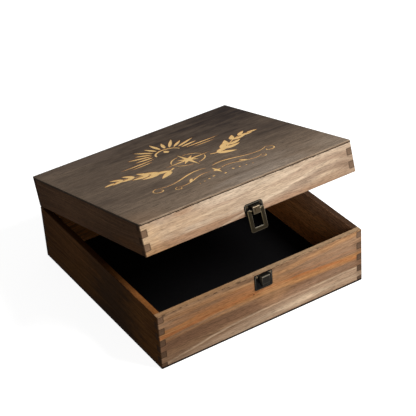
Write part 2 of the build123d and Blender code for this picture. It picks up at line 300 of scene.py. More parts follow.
RING = 3.4  # between growth rings on a board's face
FIBRE = 0.55  # across one bundle of fibres
STREAK_REACH = 120.0  # the heights that a streak's curve can take
PINE_ROUGHNESS = (0.6, 0.75)
PANEL_ROUGHNESS = (0.6, 0.72)
WOOD_GLOSS = 0.006  # the stain is flat, with no varnish over it
INSIDE_PAINTED_LIGHT = (1.9, 1.8, 1.6)  # painted light on the faces inside the box
TOP_FINGER_PALER = 1.35  # the tray's top fingers are rubbed
# on the tray's left board this is where the rim goes into the lid's painted shadow
RIM_CHANGE_AND_SHADOW_EDGE = (-0.4 * HALF, -0.05 * HALF)  # where a rim goes from its low end's tone to the other
GLUE = (38, 27, 20)  # where glue and stain have gathered in a joint
KNOT = (62, 38, 24)
TORN_FIBRE = (58, 40, 28)


class Grain:
    """Where a point lies in a board: u along the grain, v across it, w through the board."""

    def __init__(self, g, place, normal, along, across, seed):
        through = 3 - along - across
        self.g, self.seed = g, seed
        self.u, self.v, self.w = place[along], place[across], place[through]
        self.end = g.step(g.size(normal[along]), 0.6, 0.8)
        wander = g.noise(g.stretched((self.u, self.v, seed), (150, 45)), 1, 2)
        self.bent = g.add(self.v, g.swing(wander, 14.0))

    def out(self):
        """How far out a point of a side board lies from the middle of the box."""
        return self.g.size(self.w)

    def noise(self, lengths, shift, detail, roughness):
        """A noise whose lengths are along the grain, across it and through the board."""
        place = self.g.stretched((self.u, self.bent, self.w), lengths)
        return self.g.noise(self.g.shifted(place, self.seed + shift), 1, detail, roughness)

    def rings(self, spacing=RING, detail=2.0):
        """Growth rings, which wander along the board."""
        return self.noise((230, spacing, 9), 0, detail, 0.55)

    def fibres(self, size=FIBRE, length=26.0, detail=3.0):
        return self.noise((length, size, size), 7, detail, 0.6)

    def blotches(self, size=42.0):
        return self.noise((size / 0.35, size, size), 13, 3, 0.6)


def streak(g, grain, middle, half_width, blur):
    """How far a point is into a streak along the board whose middle goes through these heights.

    A broad streak has ragged edges and a thin one is a smooth line.
    """
    ragged = min(1.5, 0.7 + 0.3 * half_width)
    points = [(-HALF, middle[0]), *middle[1:-1], (HALF, middle[-1])]
    centre = g.curve(grain.u, points, (-HALF, HALF), STREAK_REACH)
    rag = g.noise(g.stretched((grain.u, grain.v, grain.seed + len(middle)), (35, 5)), 1, 4)
    height = g.add(grain.v, g.swing(rag, 4 * ragged))
    return g.step(g.away(height, centre), half_width, half_width + blur, 1.0, 0.0)


def from_spot(g, grain, u, v, reach_u, reach_v):
    """How far a point is from a spot, counted in one reach along the grain and one across it."""
    along = g.times(g.add(grain.u, -u), 1 / reach_u)
    across = g.times(g.add(grain.v, -v), 1 / reach_v)
    return g.math("SQRT", g.add(g.times(along, along), g.times(across, across)))


def patch(g, grain, u, v, reach_u, reach_v):
    """How far a point is into a cloudy patch of stain about one spot."""
    cloud = g.noise(g.stretched((grain.u, grain.v, grain.seed), (40, 12)), 1, 4)
    distance = g.add(from_spot(g, grain, u, v, reach_u, reach_v), g.swing(cloud, 1.6))
    return g.step(distance, 0.3, 1.3, 1.0, 0.0)


def knot(g, grain, u, v, radius):
    """How near a point is to a small knot, which is longer along the grain."""
    rag = g.noise(g.vector(grain.u, grain.v, grain.seed), 0.9, 2)
    distance = g.add(from_spot(g, grain, u, v, 1 / 0.8, 1 / 1.5), rag)
    return g.step(distance, radius * 0.6, radius * 1.6, 1.0, 0.0)


def painted(g, grain, colour, streaks=(), patches=(), knots=()):
    """A board's colour with its streaks, clouds and knots laid over it."""
    for shade, middle, half_width, blur, strength in streaks:
        colour = g.paint(colour, streak(g, grain, middle, half_width, blur), shade, strength)
    for shade, u, v, reach_u, reach_v, strength in patches:
        colour = g.paint(colour, patch(g, grain, u, v, reach_u, reach_v), shade, strength)
    for u, v, radius in knots:
        colour = g.paint(colour, knot(g, grain, u, v, radius), KNOT, 0.8)
    return colour


def near(g, value, line, core=0.2, reach=1.1):
    """1 on a line and 0 from reach away."""
    return g.step(g.away(value, line), core, reach, 1.0, 0.0)


def finger_lines(g, grain, first_row, on_side_board):
    """The lines that glue has darkened round the fingers, on the boards' faces and their ends.

    The first row's ends are the side boards', and the rows take turns from there. Depths are
    counted from an even number of rows further up, so that none is under zero.
    """
    depth = g.math("SUBTRACT", first_row + 20 * FINGER_PITCH, grain.v)
    between = g.step(g.math("PINGPONG", depth, FINGER_PITCH / 2), 0.2, 1.0, 1.0, 0.0)
    other = g.math("PINGPONG", g.add(depth, -FINGER_PITCH / 2), FINGER_PITCH)
    cut_out = g.step(other, *(HALF_ROW if on_side_board else HALF_ROW[::-1]))
    along = g.size(grain.u)
    face = g.most(g.times(near(g, along, INSIDE), cut_out),
                  g.times(between, g.step(along, INSIDE - 0.3, INSIDE + 0.3)))
    return face, g.most(near(g, grain.out(), INSIDE), between)


def arris(g, grain, top):
    """How near a point is to a board's outer top arris, from the face or from the rim."""
    below = g.math("SUBTRACT", top, grain.v)
    inward = g.math("SUBTRACT", HALF, grain.out())
    return g.step(g.most(below, inward), 0.5, 1.6, 1.0, 0.0)


class Stain:
    """How one side board took the stain. Colours are as seen, 0 to 255.

    tones are its palest, middle and darkest; rim its sawn rims at the low and the high end,
    on the tray's left and right boards partly darkened as painted shade; end its end grain.
    streaks are bands along the board, each (colour, middle heights, half width, blur,
    strength); patches are clouds, each (colour, u, v, reach along, reach across, strength);
    knots are (u, v, radius). drift is how the board lightens from its low end to its high
    end, on the tray's front a painted light; contrast is how strongly its grain stands out,
    fine its finest fibres, and inside how much lighter its inner face is painted, a painted
    light where the lamps reach little.
    """

    def __init__(self, tones, rim, end, streaks=(), patches=(), knots=(), drift=(1, 1),
                 contrast=1.0, fine=1.0, inside=INSIDE_PAINTED_LIGHT):
        self.pale, self.mid, self.dark = tones
        self.rim, self.end = rim, end
        self.streaks, self.patches, self.knots = streaks, patches, knots
        self.drift, self.contrast, self.fine, self.inside = drift, contrast, fine, inside


def rim_colour(g, grain, stain, fibres, flecks):
    """The sawn rims: thinly rubbed, with saw marks, and torn fibres along the outer arris."""
    colour = g.between(g.step(grain.u, *RIM_CHANGE_AND_SHADOW_EDGE), *stain.rim)
    saw_marks = grain.fibres(1.8, 4.5, 2.0)
    colour = g.shade(colour, g.over(fibres, 0.84, 1.12))
    colour = g.shade(colour, g.over(saw_marks, 0.84, 1.14))
    outer = g.step(grain.out(), HALF - 4.5, HALF - 0.8)
    torn = g.times(outer, g.step(flecks, 0.42, 0.58, 1.0, 0.0))
    return g.paint(colour, torn, TORN_FIBRE, 0.5)


def end_colour(g, grain, stain, shut):
    """End grain, which drinks the stain, each finger a little differently and most at the foot."""
    pores = g.noise(g.vector(grain.v, grain.w, grain.seed), 1.9, 3)
    end = g.between(g.step(pores, 0.35, 0.65), [0.8 * c for c in stain.end], stain.end)
    row = g.noise(g.vector(0.0, 0.0, g.times(grain.v, 0.6 / FINGER_PITCH)), 1, 0)
    end = g.shade(end, g.over(row, 0.9, 1.1))
    if not shut:
        top_row = TRAY_TOP - SAWN_SLICE - FINGER_PITCH
        end = g.shade(end, g.step(grain.v, top_row - 0.5, top_row, 1.0, TOP_FINGER_PALER))
    return g.shade(end, g.step(grain.v, 20.0, TRAY_TOP - 4, 0.94, 1.14))


def pine(name, along, shut, seed, stain):
    """Brown-stained pine for one side board."""
    g = Graph(name)
    place, normal = object_axes(g, shut)
    grain = Grain(g, place, normal, along, 2, seed)
    rings, fibres, blotches = grain.rings(), grain.fibres(), grain.blotches()
    strong, fine = stain.contrast, stain.fine
    colour = g.between(g.step(blotches, 0.36, 0.64), stain.dark, stain.mid)
    colour = g.paint(colour, g.step(rings, 0.4, 0.7), stain.pale, 0.5)
    colour = painted(g, grain, colour, stain.streaks, stain.patches, stain.knots)
    # fine grain: long soft lines, fibres, short dark pores, and thin dark lines of late wood
    lines, flecks = grain.fibres(1.7, 60.0, 2.0), grain.fibres(0.8, 7.0, 2.0)
    colour = g.shade(colour, g.over(lines, 1 - 0.15 * strong, 1 + 0.12 * strong))
    colour = g.shade(colour, g.over(fibres, 1 - 0.14 * fine, 1 + 0.12 * fine))
    colour = g.shade(colour, g.step(flecks, 0.34, 0.54, 1 - 0.24 * fine, 1 + 0.05 * fine))
    late = g.step(grain.rings(RING / 2.6, 1.0), 0.6, 0.74)
    colour = g.paint(colour, late, [0.55 * c for c in stain.dark], 0.14 * strong)
    colour = g.shade(colour, g.step(grain.u, -HALF, HALF, *stain.drift))
    # painted light: the inner face is lightened where the lamps reach little
    inner = g.step(grain.out(), INSIDE, INSIDE + 0.4, 1.0, 0.0)
    colour = g.tint(colour, inner, stain.inside)
    # the joints, the ends and the rims
    top = LID_HIGH.z if shut else TRAY_TOP
    first_row = top - (FIRST_FINGER if shut else SAWN_SLICE)
    face_lines, end_lines = finger_lines(g, grain, first_row, along == 1)
    colour = g.paint(colour, face_lines, GLUE, 0.5)
    end = g.paint(end_colour(g, grain, stain, shut), end_lines, GLUE, 0.6)
    colour = g.mix(grain.end, colour, end)
    rim = g.step(g.size(normal[2]), 0.85, 0.95)
    colour = g.mix(rim, colour, rim_colour(g, grain, stain, fibres, flecks))
    dark_arris = g.times(arris(g, grain, top), g.step(flecks, 0.4, 0.54, 0.6, 0.0))
    colour = g.paint(colour, dark_arris, GLUE)
    relief = g.add(g.times(fibres, 0.6), g.add(g.times(rings, 0.5), g.times(flecks, 0.4)))
    g.set(Base_Color=colour, Roughness=g.over(fibres, *PINE_ROUGHNESS),
          Specular_IOR_Level=WOOD_GLOSS, Normal=g.bump(relief, 0.12, 0.5))
    return g.material


TRAY_FRONT_STREAKS = (
    # colour, (height at the low end, (along the board, height)..., height at the high end),
    # half width, blur, strength
    ((122, 90, 68), (31.5, (-60, 32.5), (40, 30.5), 27.5), 5.0, 6.0, 0.85),
    ((130, 102, 80), (4, (-90, 6), (-20, 12), (60, 14), 14), 9.0, 5.0, 0.7),
    ((164, 138, 114), (-6, (-60, 3), (0, 10), (60, 12), 12), 6.5, 7.0, 0.85),
    ((190, 164, 136), (5, (-110, 11), (-60, 18), (0, 22), 22.5), 0.5, 1.8, 0.65),
    ((200, 176, 148), (-8, (-40, 3), (10, 9.5), (90, 12), 10.5), 0.6, 2.2, 0.3),
    ((166, 116, 72), (48, (-70, 52), (0, 50), (70, 44.5), 40.5), 3.4, 4.4, 0.8),
    ((164, 92, 50), (46, (-110, 47.5), (-60, 51), (60, 49), 37.5), 0.8, 2.6, 0.45),
    ((170, 108, 62), (53, (-110, 54), (-60, 58), (20, 56), 51), 0.6, 2.4, 0.4),
    ((176, 128, 84), (38.5, (-60, 42.5), (0, 44.5), (70, 41.5), 41.5), 0.6, 2.4, 0.45),
    ((166, 120, 80), (69, (-60, 69.5), (20, 66), (80, 71), 75), 1.2, 4.2, 0.6),
    ((158, 114, 78), (61, (-60, 59), (20, 58), (80, 59), 63), 0.8, 3.4, 0.4),
    ((184, 142, 102), (73, (-90, 75), (20, 67), (80, 71.5), 75), 0.4, 1.8, 0.45),
    ((126, 96, 74), (75, (-60, 65), (20, 62), (80, 63), 67), 0.4, 2.0, 0.2),
    ((122, 90, 66), (56, (-60, 57), (20, 55), (80, 52), 51), 0.4, 2.0, 0.4),
)
TRAY_FRONT_PATCHES = (
    # colour, place along, height, reach along, reach up, strength
    ((122, 94, 72), -130, 5, 60, 8, 0.35),
    ((104, 76, 57), -110, 34.5, 70, 9, 0.6),
    ((164, 110, 70), -50, 58, 70, 10, 0.55),
    ((154, 124, 100), 120, 57, 70, 10, 0.5),
    ((148, 120, 98), 110, 31.5, 50, 7, 0.5),
    ((164, 130, 104), 36, 27, 50, 7, 0.5),
    ((176, 132, 92), 16, 46, 26, 26, 0.45),
    ((170, 136, 106), 130, 67, 40, 6, 0.45),
    ((212, 188, 160), 48, 11.5, 55, 5, 0.5),
    ((106, 84, 66), 150, 12, 14, 9, 0.5),
    ((104, 78, 60), 150, 57, 14, 8, 0.6),
    ((156, 124, 96), -150, 68, 16, 12, 0.5),
    ((110, 84, 64), 150, 38, 12, 10, 0.5),
)
LID_FRONT_STREAKS = (
    ((130, 98, 76), (80, (-60, 81), (60, 79), (100, 76), 73), 3.0, 5.0, 0.85),
    ((152, 126, 104), (114.5, (-85, 112.5), (0, 98), (70, 101.5), 106), 1.4, 5.0, 0.35),
    ((132, 108, 90), (78, (40, 86), (85, 92.5), (115, 95.5), 88.5), 2.0, 4.0, 0.6),
    ((150, 124, 104), (120, (20, 103), (90, 108.5), (125, 107.5), 102), 0.8, 3.0, 0.45),
    ((212, 190, 164), (97, (0, 103.5), (60, 108.5), (110, 115.5), 107), 0.4, 2.0, 0.3),
    ((208, 186, 160), (60, (-10, 84), (65, 95.5), (110, 104), 94), 0.3, 1.9, 0.45),
    ((204, 182, 154), (101, (-60, 100), (10, 99), (80, 101), 100), 0.3, 1.6, 0.2),
    ((186, 136, 86), (81, (-110, 77), (-60, 73), (0, 71), 71), 0.8, 2.4, 0.7),
)
LID_FRONT_PATCHES = (
    ((196, 178, 156), 20, 113.5, 50, 8, 0.4),
    ((204, 182, 156), 26, 96, 34, 12, 0.35),
    ((204, 184, 162), -46, 111, 34, 8, 0.5),
    ((178, 146, 114), -110, 101.5, 70, 14, 0.4),
    ((156, 122, 94), -110, 83, 90, 9, 0.6),
    ((156, 112, 80), -92, 115.5, 16, 5, 0.3),
    ((178, 144, 116), 60, 80, 60, 8, 0.4),
    ((214, 188, 158), 109, 89.5, 25, 3.5, 0.42),
    ((142, 114, 90), 118, 83, 50, 9, 0.7),
    ((140, 108, 80), -138, 81, 34, 8, 0.6),
    ((128, 104, 86), 142, 95, 22, 13, 0.6),
    ((150, 126, 106), 128, 108, 50, 8, 0.4),
    ((186, 150, 108), -144, 98, 22, 26, 0.35),
)
# the first three, pale clouds near the front, are a painted sheen
TOP_PATCHES_AND_SHEEN = (
    ((156, 142, 128), 25, -138, 70, 20, 0.7),
    ((142, 127, 113), 35, -104, 60, 28, 0.6),
    ((150, 134, 118), 140, -128, 36, 30, 0.6),
    ((104, 90, 80), -80, 134, 60, 20, 0.5),
    ((98, 84, 72), -110, 60, 50, 30, 0.4),
    ((88, 76, 66), 60, 46, 40, 16, 0.4),
    ((60, 51, 47), 110, 10, 40, 18, 0.4),
)
THICK_STAIN, THIN_STAIN_AND_SHEEN = (41, 34, 32), (136, 118, 101)
PANEL_RING = (98, 82, 68)
WORN_CORNER, WORN_REACH = (140, 108, 80), 60.0
LEFT_EDGE_PAINTED_SHADE = 0.25
EDGE_GLUE_AND_SHADE = (30, 22, 17)
ARRIS_HIGHLIGHT = (178, 156, 134)


def stained_panel(name, shut, seed, edge_tones, patches=()):
    """The thin panels over the top and bottom: dark grey-brown stain, edges in two tones."""
    g = Graph(name)
    place, normal = object_axes(g, shut)
    x, y, z = place
    grain = Grain(g, place, normal, 0, 1, seed)
    rings, fibres, blotches = grain.rings(7.0, 3.0), grain.fibres(0.6, 40.0), grain.blotches(70.0)
    # the stain lies thinner towards the front, most of all at its right, and in soft clouds;
    # part of the lighter front is a painted sheen
    fade = g.times(y, g.add(g.times(x, -0.000013), -0.0028))
    smoke = g.shifted(g.stretched((grain.u, grain.bent, 0.0), (70, 17)), seed + 3)
    mottle = g.noise(g.stretched((x, y, seed), (16, 9)), 1, 5, 0.65)
    clouds = g.add(g.swing(blotches, 1.5), g.swing(g.noise(smoke, 1, 4, 0.55), 1.1))
    clouds = g.add(clouds, g.swing(mottle, 0.9))
    slope = g.add(g.add(fade, g.times(x, -0.00112)), clouds)
    # painted sheen: the front strip is lightened
    front = g.step(y, -HALF, 60 - HALF, 0.34, 0.0)
    thin = g.step(g.add(slope, front), -0.9, 1.0)
    colour = g.between(thin, THICK_STAIN, THIN_STAIN_AND_SHEEN)
    colour = painted(g, grain, colour, patches=patches)
    colour = g.paint(colour, g.step(rings, 0.45, 0.7), PANEL_RING, 0.25)

    def darkest(thick_stain, thin_stain):
        """The grain stands out where the stain is thin."""
        return g.ramp(thin, 0.15, 0.7, thick_stain, thin_stain)

    flecks, lines = grain.fibres(0.8, 9.0, 2.0), grain.fibres(1.5, 90.0, 2.0)
    late = g.step(grain.rings(2.2, 1.0), 0.6, 0.72)
    colour = g.shade(colour, g.over(fibres, darkest(0.97, 0.79), 1.06))
    colour = g.shade(colour, g.step(flecks, 0.34, 0.54, darkest(0.94, 0.55), 1.04))
    colour = g.shade(colour, g.step(lines, 0.32, 0.68, darkest(0.93, 0.84), 1.08))
    colour = g.shade(colour, g.step(late, 0.0, 1.0, 1.0, darkest(0.94, 0.85)))
    corner = from_spot(g, grain, -HALF, -HALF, WORN_REACH, WORN_REACH)
    colour = g.paint(colour, g.step(corner, 1 / 6, 1.0, 0.25, 0.0), WORN_CORNER)
    # the panel's cut edge, browner than its face, with a dark line where it meets the boards,
    # partly glue and partly painted shade in the seam
    slant = g.size(normal[2])
    plies = g.noise(g.stretched(place, (20, 20)), 1.4, 2)
    edge = g.between(g.step(plies, 0.4, 0.6), *edge_tones)
    # painted shade: the left edge, which faces away from the lamps, is darkened
    edge = g.shade(edge, g.step(x, 2 - HALF, 4 - HALF, LEFT_EDGE_PAINTED_SHADE, 1.0))
    edge = g.paint(edge, near(g, z, PLATE_LOW.z if shut else BASE_HIGH.z, 0.7, 1.4), EDGE_GLUE_AND_SHADE)
    colour = g.mix(g.step(slant, 0.3, 0.6, 1.0, 0.0), colour, edge)
    # a painted highlight along the arris between them
    arris_highlight = g.times(g.step(slant, 0.3, 0.5), g.step(slant, 0.9, 0.97, 1.0, 0.0))
    colour = g.paint(colour, arris_highlight, ARRIS_HIGHLIGHT, 0.6)
    g.set(Base_Color=colour, Roughness=g.over(fibres, *PANEL_ROUGHNESS),
          Specular_IOR_Level=2 * WOOD_GLOSS,
          Normal=g.bump(g.add(fibres, g.times(rings, 0.4)), 0.08, 0.45))
    return g.material


BARE_DARK, BARE_PALE = (214, 172, 108), (240, 204, 142)
RASTER, TOASTED = (188, 142, 84), (150, 106, 62)


def engraving():
    """Wood that the laser has laid bare: pale, with its fine raster lines and a toasted rim."""
    g = Graph("engraved_wood")
    (x, y, _), normal = object_axes(g, True)
    raster = g.node("ShaderNodeTexWave", g.vector(x, y, 0.0), wave_type="BANDS",
                    bands_direction="Y")
    raster.inputs["Scale"].default_value = 0.8
    raster.inputs["Distortion"].default_value = 0.4
    fibres = g.noise(g.stretched((x, y, 3.0), (14, 0.625)), 1, 3)
    colour = g.between(g.over(fibres, 0.0, 1.0), BARE_DARK, BARE_PALE)
    colour = g.paint(colour, raster.outputs["Fac"], RASTER, 0.14)
    colour = g.paint(colour, g.step(g.size(normal[2]), 0.5, 0.9, 1.0, 0.0), TOASTED)
    g.set(Base_Color=colour, Roughness=g.over(fibres, 0.62, 0.8), Specular_IOR_Level=0.2,
          Normal=g.bump(g.add(raster.outputs["Fac"], fibres), 0.05, 0.5))
    return g.material


# ---- felt and metal ----

FELT_DARK, FELT_PALE, FELT_TUFT = (3, 3, 4), (15, 14, 15), (10, 9, 10)


def felt_material():
    g = Graph("black_felt")
    flat = g.vector(*object_axes(g, False)[0])
    hairs = g.noise(flat, 1.7, 4, 0.7, 1.6)
    tufts = g.noise(flat, 0.09, 3, 0.6)
    colour = g.between(g.step(hairs, 0.35, 0.7), FELT_DARK, FELT_PALE)
    colour = g.paint(colour, g.step(tufts, 0.45, 0.7), FELT_TUFT, 0.4)
    g.set(Base_Color=colour, Roughness=g.over(hairs, 0.9, 1.0), Specular_IOR_Level=0.02,
          Sheen_Weight=0.02, Sheen_Roughness=0.5, Normal=g.bump(g.add(hairs, tufts), 0.25, 0.8))
    return g.material


# painted highlight along the edges of metal parts
EDGE_HIGHLIGHT = (146, 138, 122)
PROUD = (-HALF - 5.5, -HALF - 2.5)  # from which depths metal stands out from the front


def edge_highlights(g, place, outlines):
    """How strongly a painted highlight lies along the edges of flat parts, most of all
    at their tops.

    Each outline is (middle, half width, foot, top, strength).
    """
    rubbed = 0.0
    for middle, half, foot, top, strength in outlines:
        aside = g.size(g.add(g.size(place[0]), -middle))
        aloft = g.away(place[2], (foot + top) / 2)
        beyond = g.most(g.add(aside, -half), g.add(aloft, (foot - top) / 2))
        line = g.step(g.size(beyond), 0.15, 0.6, 1.0, 0.0)
        height = g.step(place[2], foot, top, 0.3 * strength, strength)
        rubbed = g.most(rubbed, g.times(line, height))
    return rubbed


def bronze(name, dark, worn, wear, roughness, shut, outlines=(), highlight=EDGE_HIGHLIGHT, proud=None,
           lit=None):
    """Antique bronze: a dark brown finish, rubbed through in small patches, with a painted
    highlight along its edges.

    proud is the tone of what stands out from the box's front, where hands have browned it, and
    lit that of faces that look up, a painted highlight.
    """
    g = Graph(name)
    place, normal = object_axes(g, shut)
    flat = g.vector(*place)
    patina = g.noise(flat, 0.22, 4, 0.6)
    grit = g.noise(flat, 2.4, 3, 0.7)
    scratches = g.noise(g.stretched(place, (1, 1, 1 / 7)), 0.9, 2)
    rubbed = g.step(g.add(patina, g.swing(grit, 0.4)), 0.62 - wear, 0.9 - wear)
    colour = tone(*dark)
    if proud:
        colour = g.paint(colour, g.step(place[1], *PROUD, 1.0, 0.0), proud)
    colour = g.shade(colour, g.over(grit, 0.65, 1.4))
    colour = g.paint(colour, rubbed, worn)
    if outlines:
        # painted highlight along the edges
        edges = g.times(edge_highlights(g, place, outlines), g.step(grit, 0.3, 0.55, 0.5, 1.0))
        colour = g.paint(colour, edges, highlight)
    metallic = 1.0
    # painted highlight on faces that look up
    if lit:
        up = g.times(g.step(normal[2], 0.7, 0.95), g.step(grit, 0.3, 0.55, 0.6, 1.0))
        colour = g.paint(colour, up, lit)
        metallic = g.ramp(up, 0.0, 1.0, 1.0, 0.2)
    gloss = g.step(g.add(grit, g.times(scratches, 0.6)), 0.4, 1.1, *roughness)
    g.set(Base_Color=colour, Metallic=metallic, Roughness=gloss,
          Normal=g.bump(g.add(grit, scratches), 0.03, 0.35))
    return g.material


def dress(node, material):
    """Gives a CAD node its finish."""
    shape = frame["nodes"][node].data
    shape.materials.clear()
    shape.materials.append(material)


# ---- meshes ----


def make_piece(name, vertices, faces, materials, body, node, face_materials=None,
               lid=False):
    """A mesh in millimetres as a piece of the frame; lid pieces are drawn with the lid shut."""
    mesh = bpy.data.meshes.new(name)
    mesh.from_pydata([Vector(v) * MM for v in vertices], [], faces)
    for material in materials:
        mesh.materials.append(material)
    if face_materials:
        mesh.polygons.foreach_set("material_index", face_materials)
    if lid:
        mesh.transform(OPEN_LID)
    mesh.update()
    piece = bpy.data.objects.new(name, mesh)
    bpy.context.scene.collection.objects.link(piece)
    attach(piece, body)
    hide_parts(node)
    return piece


# ---- the ornament on the lid ----
# Outlines in the top's own plane: X to the right and Y to the back, in millimetres. None
# touches another, so that each is a recess of its own with wood between.

LEAF_STEPS, DOT_STEPS, CURVE_STEPS, SPIRAL_STEPS = 9, 20, 24, 40


def unit(angle):
    return Vector((cos(angle), sin(angle)))


def leaf(base, angle, length, width, bend=0.0):
    """A pointed leaf from its base, fuller below its middle, curving to one side by bend."""
    sides = []
    for side in (-1, 1):
        points = []
        for i in range(LEAF_STEPS + 1):
            t = i / LEAF_STEPS
            half = width / 2 * sin(pi * t ** 0.8) ** 0.85
            points.append((t * length, bend * t * t * length + side * half))
        sides.append(points)
    outline = sides[0] + sides[1][-2:0:-1]
    along, across = unit(angle), unit(angle + pi / 2)
    return [Vector(base) + x * along + y * across for x, y in outline]


def star(centre, tips, hollows, points, turn=0.0):
    """A star whose tips take their lengths in turn from tips."""
    outline = []
    for i in range(points):
        outline.append(Vector(centre) + tips[i % len(tips)] * unit(turn + tau * i / points))
        outline.append(Vector(centre) + hollows * unit(turn + tau * (i + 0.5) / points))
    return outline


def dot(centre, radius):
    return [Vector(centre) + radius * unit(tau * i / DOT_STEPS) for i in range(DOT_STEPS)]


def ribbon(path, widths):
    """A strip along a path, its width going smoothly through widths."""
    left, right = [], []
    last = len(path) - 1
    for i, point in enumerate(path):
        ahead = path[min(i + 1, last)] - path[max(i - 1, 0)]
        across = Vector((-ahead.y, ahead.x)).normalized()
        place = i / last * (len(widths) - 1)
        low = min(int(place), len(widths) - 2)
        half = (widths[low] + (widths[low + 1] - widths[low]) * (place - low)) / 2
        left.append(point + half * across)
        right.append(point - half * across)
    return left + right[::-1]


def bezier(start, first, second, end):
    """Points along one cubic curve."""
    points = []
    for i in range(CURVE_STEPS + 1):
        t = i / CURVE_STEPS
        s = 1 - t
        points.append(
            s**3 * Vector(start) + 3 * s * s * t * Vector(first)
            + 3 * s * t * t * Vector(second) + t**3 * Vector(end)
        )
    return points


def spiral(centre, start_radius, end_radius, start_angle, turn, steps=SPIRAL_STEPS):
    """Points on a spiral about centre."""
    points = []
    for i in range(steps + 1):
        t = i / steps
        radius = start_radius + (end_radius - start_radius) * t
        points.append(Vector(centre) + radius * unit(start_angle + turn * t))
    return points


def anticlockwise(outline):
    """The same outline, turning left all the way round."""
    after = outline[1:] + outline[:1]
    area = sum(a.x * b.y - b.x * a.y for a, b in zip(outline, after))
    return outline if area > 0 else outline[::-1]


def mirrored(outlines):
    """The outlines and their mirror images across the middle of the lid."""
    return outlines + [[Vector((-p.x, p.y)) for p in outline] for outline in outlines]


def heading(path, i):
    """The direction of a path at one of its points, as an angle."""
    ahead = path[min(i + 1, len(path) - 1)] - path[max(i - 1, 0)]
    return atan2(ahead.y, ahead.x)


def sprig(path, pairs, length, width, spread, stem):
    """A tapering stem with leaves in pairs beside it and one at its tip."""
    outlines = [ribbon(path, (stem, 0.8 * stem, 0.4 * stem))]
    for k in range(pairs):
        i = round((k + 0.7) / (pairs + 0.3) * (len(path) - 1))
        angle = heading(path, i)
        shrink = 1 - 0.4 * k / pairs
        for side in (-1, 1):
            turned = angle + side * spread
            outlines.append(leaf(path[i], turned, length * shrink, width * shrink, -0.2 * side))
    outlines.append(leaf(path[-1], heading(path, len(path) - 1), length * 0.6, width * 0.6))
    return outlines


def ornament():
    """A compass star between two broad laurel sprigs, half a sun with long rays above it, and
    two thin scrolls below."""
    middle = [star((0, -6), (34, 17), 6.4, 8, pi / 2)]
    for quarter in range(4):
        start = quarter * pi / 2 + 0.16
        middle.append(ribbon(spiral((0, -6), 22, 22, start, pi / 2 - 0.32, 16), (1.2, 2.4, 1.2)))
    broad = sprig(bezier((27, -16), (48, -36), (66, 16), (98, 10)), 5, 27.0, 10.0, 0.7, 3.0)
    sun = [ribbon(spiral((0, 46), 17, 17, 0, pi, 24), (2.6, 3.4, 2.6))]
    sun.append(leaf((0, 46), pi / 2, 13, 7.0))
    for i in range(11):
        angle = pi * (i + 0.5) / 11
        reach = 34 if i % 2 else 26
        sun.append(leaf(Vector((0, 46)) + 21 * unit(angle), angle, reach, 5.2))
    ground = [leaf((22, 42), -0.08, 52, 3.4, 0.06), leaf((30, 34), -0.12, 34, 2.6, 0.08)]
    scroll = [
        ribbon(bezier((5, -58), (30, -44), (54, -84), (80, -64)), (1.2, 3.4, 1.6, 1.2)),
        ribbon(spiral((79, -74), 10.0, 2.4, pi / 2, -1.7 * pi), (1.2, 2.0, 1.6)),
        ribbon(bezier((8, -76), (26, -64), (42, -98), (62, -84)), (1.0, 2.4, 1.0)),
        ribbon(spiral((60, -90), 6.2, 1.6, pi / 2, -1.6 * pi), (1.0, 1.6, 1.2)),
        leaf((34, -74), -0.9, 13, 4.2),
    ]
    scroll += [dot((14 + 8 * i, -94 - 2.5 * i), 1.9 - 0.3 * i) for i in range(4)]
    pendant = [star((0, -78), (15, 6), 3.2, 4, pi / 2), dot((0, -99), 2.0)]
    return middle + sun + pendant + mirrored(broad + ground + scroll)


ENGRAVING_DEPTH = 0.35
PLATE_EDGE = 0.6  # how far the top's sanded edge is rounded
PLATE_CORNER = 0.8  # and its corners, seen from above
CORNER_STEPS = 4
KEEP_INSIDE, CUT_GAP = 1, 0.001  # how the face is cut into triangles
STAINED, BARE = 0, 1  # the panel's two materials


def plate_outline(inset):
    """The top's outline with lightly rounded corners."""
    outline = []
    reach = HALF - inset - PLATE_CORNER
    for k, (x, y) in enumerate(((1, 1), (-1, 1), (-1, -1), (1, -1))):
        centre = Vector((reach * x, reach * y))
        for i in range(CORNER_STEPS + 1):
            outline.append(centre + PLATE_CORNER * unit(k * pi / 2 + i / CORNER_STEPS * pi / 2))
    return outline


